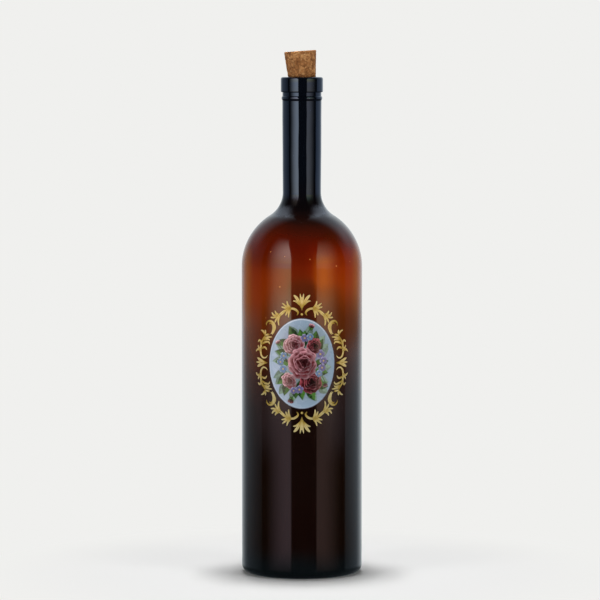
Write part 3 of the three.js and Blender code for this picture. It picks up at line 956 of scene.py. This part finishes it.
def palmette(*fan):
    """Strokes of a fan on a short stem, the same on both sides of its middle line.

    A body ends in two close fingers, with a broad lobe on each side and a small finger under it.
    """
    strokes = [fan_stroke(fan, LOBE, 1, [0, 0], [0, 0.4], [0, 0.8])]
    for side in (1, -1):
        strokes += [
            fan_stroke(fan, TIP, side, [1.6, 0.3], [5, 0.54], [8.4, 0.63]),
            fan_stroke(fan, LOBE, side, [0, 0.08], [2.4, 0.45], [4.6, 0.74], [6.9, 0.95]),
            fan_stroke(fan, TIP, side, [0, 0.1], [0.8, 0.6], [1.5, 1]),
        ]
    return strokes


def trefoil(*fan):
    """Strokes of a smaller fan: a stem that ends in one finger, and a lobe on each side."""
    return [
        fan_stroke(fan, LOBE, 1, [0, 0], [0, 0.35], [0, 0.75]),
        fan_stroke(fan, LOBE, 1, [0, 0.1], [2.2, 0.5], [5.6, 0.9]),
        fan_stroke(fan, LOBE, -1, [0, 0.1], [2.2, 0.5], [5.6, 0.9]),
        fan_stroke(fan, TIP, 1, [0, 0.4], [0, 0.7], [0, 1]),
    ]


def rim_line():
    """The oval line that the border starts from, as fine points with their outward normals.

    They go by arc length, from the middle of the top to the right and all the way round.
    """
    angle = np.linspace(0, 2 * np.pi, 8001)
    half_width, half_length = MEDALLION_HALF_WIDTH + BORDER_GAP, MEDALLION_HALF_LENGTH + BORDER_GAP
    points = np.stack([half_width * np.sin(angle), half_length * np.cos(angle)], -1)
    normals = np.stack([half_length * np.sin(angle), half_width * np.cos(angle)], -1)
    normals /= np.linalg.norm(normals, axis=1, keepdims=True)
    run = np.concatenate([[0], np.cumsum(np.linalg.norm(np.diff(points, axis=0), axis=1))])
    return WHOLE_RIM * run / run[-1], points, normals


RIM = rim_line()


def border_place(along, out):
    """Flat places of border coordinates: the rim's point plus its normal times the distance out."""
    run, points, normals = RIM
    wrapped = np.mod(along, WHOLE_RIM)
    foot = np.stack([np.interp(wrapped, run, points[:, i]) for i in (0, 1)], -1)
    normal = np.stack([np.interp(wrapped, run, normals[:, i]) for i in (0, 1)], -1)
    return foot + normal * (BORDER_WIDTH * out / 100)[:, None]


def smooth_curve(points, share):
    """A uniform Catmull-Rom curve through points, at shares 0 to 1 of the way along."""
    knots = np.array([points[0], *points, points[-1]], float)
    place = np.clip(share, 0, 1) * (len(points) - 1)
    first = np.minimum(place.astype(int), len(points) - 2)
    t = (place - first)[:, None]
    a, b, c, d = (knots[first + i] for i in range(4))
    square = 2 * a - 5 * b + 4 * c - d
    cube = 3 * b - a - 3 * c + d
    return 0.5 * (2 * b + (c - a) * t + square * t ** 2 + cube * t ** 3)


def stroke_shell(kind, points, lift):
    """A raised stroke of gold, as flat (across, up, out) points, faces and crest shares.

    Sections follow the curve. A section's half-width is width / 2 times sin(pi share^swell)^0.6, and
    its top is a dome, 0.25 + 0.75 sqrt(1 - c^2) of the thickness at c across, with a groove cut along
    its middle. Lift raises the whole stroke a little, so that strokes which cross show their edges.
    The crest share that colours it is low at the edges, in the groove and at the root, and high
    towards the tip: painted shade in the low places, partly for the print's dark lines, and painted
    highlights on the crests and towards the tips.
    """
    count = SECTIONS[kind]
    share = np.linspace(0.012, 0.988, count)
    curve = smooth_curve(points, share)
    middle = border_place(curve[:, 0], curve[:, 1])
    forward = np.gradient(middle, axis=0)
    forward /= np.linalg.norm(forward, axis=1, keepdims=True)
    leftward = np.stack([-forward[:, 1], forward[:, 0]], -1)
    half = WIDTHS[kind] / 2 * np.sin(np.pi * share ** SWELLS[kind]) ** 0.6
    beside = np.linspace(-1, 1, 17)
    dome = 0.25 + 0.75 * np.sqrt(1 - beside ** 2)
    groove = 0.4 * np.exp(-(beside / 0.22) ** 2)
    depth = smoothstep(0.04, 0.25, share) * smoothstep(1.0, 0.7, share)
    full = np.sqrt(half / half.max())[:, None]
    crest = (dome - groove * depth[:, None]) * (0.45 + 0.55 * full)
    spots = np.concatenate([beside, beside[::-16]])
    flat = middle[:, None, :] - leftward[:, None, :] * (half[:, None] * spots)[..., None]
    base = np.full((count, 2), -SUNK)
    out = np.hstack([(GOLD_THICKNESS - LIFT) * crest + LIFT * lift, base])
    rings = np.concatenate([flat, out[..., None]], -1)
    ends = smooth_curve(points, np.array([0.0, 1.0]))
    tips = np.hstack([border_place(ends[:, 0], ends[:, 1]), np.full((2, 1), 0.2 * GOLD_THICKNESS)])
    shell, faces = capped_rings(rings, tips[0], tips[1])
    # Painted light: shade at the edges, in the groove and at the root, highlights towards the tip
    towards_tip = 0.4 * smoothstep(0.0, 0.5, share) + 0.25 * smoothstep(0.5, 0.9, share)
    bright = crest - 0.3 + towards_tip[:, None]
    shares = np.concatenate([np.hstack([bright, 0 * base]).ravel(), [0.2, 0.9]])
    return shell, faces, np.clip(shares, 0, 1)


def bead_shell():
    """A small round drop: rings of a dome, radius times cos of the rise, height times its sin."""
    rise = np.radians(np.linspace(0, 84, 12))
    angle = 2 * np.pi * np.arange(BEAD_SEGMENTS) / BEAD_SEGMENTS
    middle = border_place(np.array([0.0]), np.array([12.0]))[0]
    radius = BEAD_RADIUS * np.cos(rise)[:, None]
    out = np.where(rise > 0, BEAD_HEIGHT * np.sin(rise), -SUNK)[:, None]
    across, up = middle[0] + radius * np.cos(angle), middle[1] + radius * np.sin(angle)
    rings = np.stack([across, up, out + 0 * angle], -1)
    shell, faces = capped_rings(rings, [*middle, -SUNK], [*middle, BEAD_HEIGHT])
    return shell, faces, np.concatenate([np.repeat(np.sin(rise), BEAD_SEGMENTS), [0, 1]])


def gold_finish():
    """Fired gold: ochre crests, browner in the grooves and at the edges, with a fine brushed mottle.

    The browner grooves, edges and roots are painted shade, partly for the print's dark lines,
    and the light crests and tips are painted highlights.

    Towards the foot of the border it is painted a little duller and cooler, as shade.
    """
    finish = material("fired_gold")
    crest = finish.attribute("crest")
    mottle = finish.noise(520, 4.0, 0.6)
    worn = finish.noise(2400, 2.0)
    height = crest + (mottle - 0.5) * 0.35
    # Painted shade and highlights: dark at edges and grooves, pale on crests and tips
    tone = finish.ramp(
        height,
        (0.0, "241806"), (0.3, "604812"), (0.55, "9c7c28"), (0.8, "bc9a46"), (1.0, "d8c082"),
    )
    # Painted shade: the gold is darker and cooler towards the foot of the border
    painted_lower_shade = finish.axis("Z").step(MEDALLION_MIDDLE + 14 * MM, MEDALLION_MIDDLE - 22 * MM)
    relief = finish.bump(mottle * 0.6 + worn * 0.4, 0.25, 0.0002)
    return finish.surface(finish.principled(
        Base_Color=finish.mix(painted_lower_shade, tone, finish.multiply(tone, (0.75, 0.84, 1))),
        Metallic=0.25,
        Roughness=0.36 + mottle * 0.2,
        Normal=relief,
    ))


def make_ornament(name, shells, mirror_across, mirror_up, finish):
    """Shells turned over to their quarter and laid on the glass as one piece.

    A single mirror turns the faces round, so their order is reversed.
    """
    points, faces, shares = [], [], []
    start = 0
    for shell, shell_faces, shell_shares in shells:
        points.append(on_glass(shell[:, 0] * mirror_across, shell[:, 1] * mirror_up, shell[:, 2]))
        turned = mirror_across * mirror_up < 0
        faces += [[start + i for i in (face[::-1] if turned else face)] for face in shell_faces]
        shares.append(shell_shares)
        start += len(shell)
    crest = (("crest", np.concatenate(shares)),)
    node = "gold_" + name
    return piece(name, np.vstack(points), faces, finish, "bottle", node, crest, 50)


def make_border():
    """Every island of the border, each drawn once and mirrored to its other places."""
    finish = gold_finish()

    def strokes(listed):
        return [stroke_shell(kind, points, i % 4 / 3) for i, (kind, *points) in enumerate(listed)]

    for end, up in (("top", 1), ("bottom", -1)):
        make_ornament("palmette_" + end, strokes(palmette(0, 27, 99)), 1, up, finish)
        make_ornament("bead_" + end, [bead_shell()], 1, up, finish)
    for side, across in (("left", -1), ("right", 1)):
        make_ornament("palmette_" + side, strokes(trefoil(100, 4, 68)), across, 1, finish)
        for half, up in (("upper", 1), ("lower", -1)):
            for ornament, listed in QUARTER_ORNAMENTS.items():
                make_ornament(f"{ornament}_{half}_{side}", strokes(listed), across, up, finish)


# Studio

BACKGROUND = linear("f0f0ee")
FLOOR_HALF = 6.0
FLOOR_FADE = (0.09, 0.22)  # distances over which the floor runs out into the background
AMBIENT = 0.11
CARD_DISTANCE = 1.2
CARD_HEIGHTS = (-0.6, 1.9)
CARD_COLUMNS = 24
CARD_STRENGTH = 3.6
CARD_FOOT_FADE = (-0.247, -0.206)
RAMP_SHIFT = 0.1  # added to heights, because a ramp's positions start at 0


def make_floor():
    """A pale floor that keeps the bottle's shadow and runs out into the background further away."""
    finish = material("floor_paper")
    settings = {"operation": "LENGTH"}
    distance = finish.add("ShaderNodeVectorMath", settings, {0: finish.place()}, "Value")
    paper = finish.add("ShaderNodeBsdfDiffuse", {}, {"Color": (0.8, 0.8, 0.795, 1)})
    glow = finish.add("ShaderNodeEmission", {}, {"Color": (*BACKGROUND, 1), "Strength": 1.0})
    finish.surface(finish.either(distance.step(*FLOOR_FADE), paper, glow))
    half = FLOOR_HALF
    corners = [(-half, -half, 0), (half, -half, 0), (half, half, 0), (-half, half, 0)]
    floor = mesh_object("floor", corners, [(0, 1, 2, 3)], finish.owner)
    floor.visible_glossy = False


def make_world():
    """White for the camera. Other rays meet a studio with a white backdrop.

    Mirrored rays find it behind the bottle and high over its back, with a cool grey at the sides
    and a dark room in front and below.
    """
    world = bpy.data.worlds.new("studio")
    bpy.context.scene.world = world
    finish = Finish(world)
    path = "ShaderNodeLightPath"
    seen = finish.add(path, {}, {}, "Is Camera Ray")
    glossy = finish.add(path, {}, {}, "Is Glossy Ray")
    direction = finish.add("ShaderNodeTexCoord", {}, {}, "Generated")
    right, depth, rise = (finish.add("ShaderNodeSeparateXYZ", {}, {0: direction}, i) for i in "XYZ")
    sides = depth.step(-0.6, 0.5) * (1 - rise.step(0.15, 0.7)) * (0.32 + 0.08 * right)
    back = depth.step(0.62, 0.95)
    overhead = rise.step(0.2, 0.6) * depth.step(0.15, 0.55) * (0.46 + 0.2 * right)
    above_floor = 0.15 + 0.85 * rise.step(-0.24, -0.1)
    mirrored = (0.012 + sides + back * (0.42 + 0.15 * right) + overhead) * above_floor
    lit = AMBIENT * (1 - glossy) + mirrored * glossy
    wall = finish.mix(back, (0.8, 0.96, 1.12, 1), (0.88, 0.96, 1, 1))
    tint = finish.mix(glossy, (0.95, 0.98, 1, 1), wall)
    tint = finish.mix(seen, tint, (*BACKGROUND, 1))
    strength = seen + lit * (1 - seen)
    sky = finish.add("ShaderNodeBackground", {}, {"Color": tint, "Strength": strength})
    finish.add("ShaderNodeOutputWorld", {}, {"Surface": sky})


def on_circle(azimuth, distance, height):
    """A place round the bottle: azimuth 0 is towards the camera and grows to the right."""
    turn = math.radians(azimuth)
    return Vector((distance * math.sin(turn), -distance * math.cos(turn), height))


def make_lamp(name, azimuth, distance, height, size, power):
    """A square soft lamp that points at the bottle's middle and isn't mirrored by it."""
    light = bpy.data.lights.new(name, "AREA")
    light.size = size
    light.energy = power
    lamp = bpy.data.objects.new(name, light)
    lamp.location = on_circle(azimuth, distance, height)
    aim = Vector((0, 0, GLASS_HEIGHT / 2)) - lamp.location
    lamp.rotation_euler = aim.to_track_quat("-Z", "Y").to_euler()
    lamp.visible_glossy = False
    bpy.context.scene.collection.objects.link(lamp)


def make_strip_card(name, near_edge, far_edge, top_fade, *colours):
    """A tall curved light card round the bottle that the glass mirrors as an upright strip.

    It is full at its near edge, which leans away from the middle higher up, and fades out towards
    its far edge, its foot and over the heights of top_fade. Its colours are given with their heights
    from the lower body up, by way of the amber and the neck, to the shoulder.
    """
    columns = np.linspace(0, 1, CARD_COLUMNS + 1)
    azimuth = np.radians(near_edge + (far_edge - near_edge) * columns)
    x, y = CARD_DISTANCE * np.sin(azimuth), -CARD_DISTANCE * np.cos(azimuth)
    rows = [np.stack([x, y, np.full(len(x), height)], -1) for height in CARD_HEIGHTS]
    step = np.arange(CARD_COLUMNS)
    above = step + len(columns)
    quads = np.stack([step, step + 1, above + 1, above], -1)
    finish = material(name)
    height = finish.axis("Z")
    across = finish.attribute("across")
    leaning = across - 0.25 * height.step(0.4, 1.8)
    sideways = leaning.step(0, 0.04) * (1 - across.step(0.12, 0.9))
    level = sideways * height.step(*CARD_FOOT_FADE) * (1 - height.step(*top_fade))
    stops = ((at + RAMP_SHIFT, colour) for at, colour in colours)
    light = finish.scale(finish.ramp(height + RAMP_SHIFT, *stops), level)
    inputs = {"Color": light, "Strength": CARD_STRENGTH}
    finish.surface(finish.add("ShaderNodeEmission", {}, inputs))
    shares = (("across", np.tile(columns, 2)),)
    card = mesh_object(name, np.vstack(rows).tolist(), quads.tolist(), finish.owner, shares)
    card.visible_camera = False
    card.visible_diffuse = False
    card.visible_shadow = False


def make_camera():
    """The photograph's camera: a long lens level with the lip, looking a little down."""
    data = bpy.data.cameras.new("camera")
    data.sensor_width = 36
    data.lens = data.sensor_width * FOCAL_PIXELS / IMAGE_SIZE
    data.clip_end = 50
    camera = bpy.data.objects.new("camera", data)
    camera.location = (0, -CAMERA_DISTANCE, CAMERA_HEIGHT)
    yaw = math.atan((AXIS_PIXEL - IMAGE_SIZE / 2) / FOCAL_PIXELS)
    camera.rotation_euler = (math.radians(90 - CAMERA_PITCH), 0, yaw)
    bpy.context.scene.collection.objects.link(camera)
    bpy.context.scene.camera = camera


def make_studio():
    """The camera, the backdrop and floor, three soft lamps and two light cards."""
    bpy.context.scene.view_settings.view_transform = "Standard"
    make_camera()
    make_world()
    make_floor()
    make_lamp("lamp_above", 180, 0.03, 0.85, 0.15, 6.1)
    make_lamp("lamp_left", -52, 1.5, 0.22, 0.5, 11.8)
    make_lamp("lamp_right", 52, 1.5, 0.22, 0.5, 12.8)
    make_strip_card(
        "strip_left", -19, -82, (0.8, 1.9),
        (-0.05, "73646b"), (0.065, "d6c2ae"), (0.09, "e2dcc2"), (0.105, "e4d2aa"), (0.12, "d9bf8a"),
        (0.16, "dac490"), (0.19, "d0cab6"), (0.33, "cac8bc"), (0.38, "e4d9b8"), (0.7, "ffece0"),
    )
    make_strip_card(
        "strip_right", 26.5, 90, (0.5, 1.7),
        (-0.05, "665450"), (0.065, "c4aa90"), (0.1, "aca484"), (0.12, "6a5c48"), (0.16, "6c5e4c"),
        (0.19, "8c8270"), (0.33, "867f78"), (0.38, "a89c70"), (0.7, "9cac90"),
    )


make_studio()
make_glass()
make_cork()
make_medallion()
make_border()
